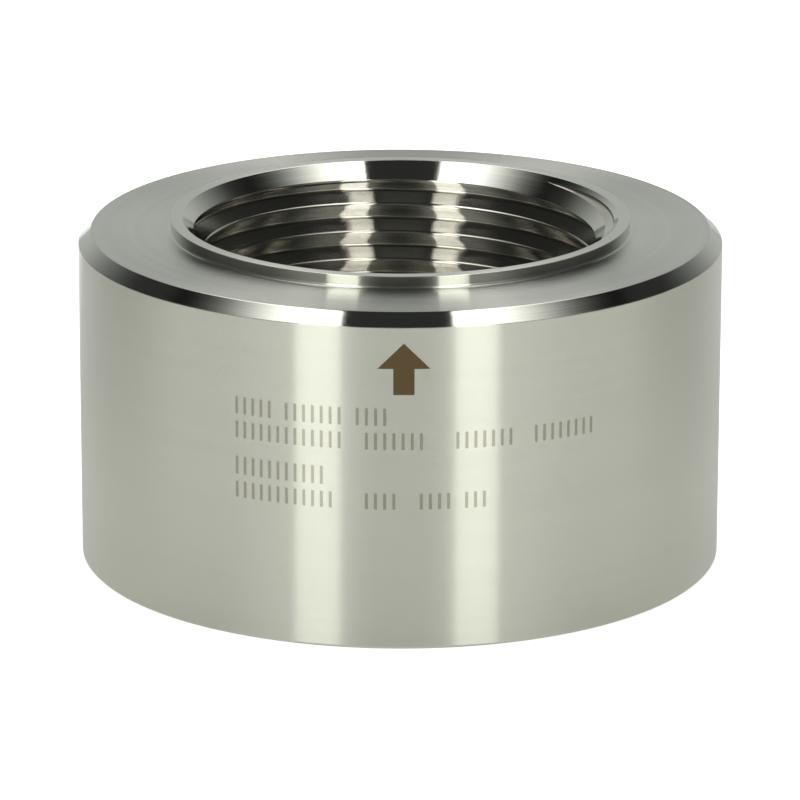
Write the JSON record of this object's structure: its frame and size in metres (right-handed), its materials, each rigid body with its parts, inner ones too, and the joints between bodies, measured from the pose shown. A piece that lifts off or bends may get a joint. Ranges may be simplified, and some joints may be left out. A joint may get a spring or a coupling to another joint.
{
  "type": "weld-in adapter",
  "caption": "Round stainless steel weld-in boss with a female pipe thread, raised mouth collar, chamfered top edge and a conical seat at its lower end.",
  "frame": {"origin": "centre of the flat bottom face, on the bore's axis", "axes": "+Z along the bore's axis from the process end up to the threaded mouth with its collar, the axis that the adapter is turned on; the marked side faces -Y"},
  "size_m": [0.05, 0.05, 0.0269],
  "materials": {
    "turned_stainless_steel": "fine-turned satin stainless steel with bright polished chamfers"
  },
  "bodies": {
    "root": {"adapter_body": "turned_stainless_steel"}
  },
  "joints": []
}
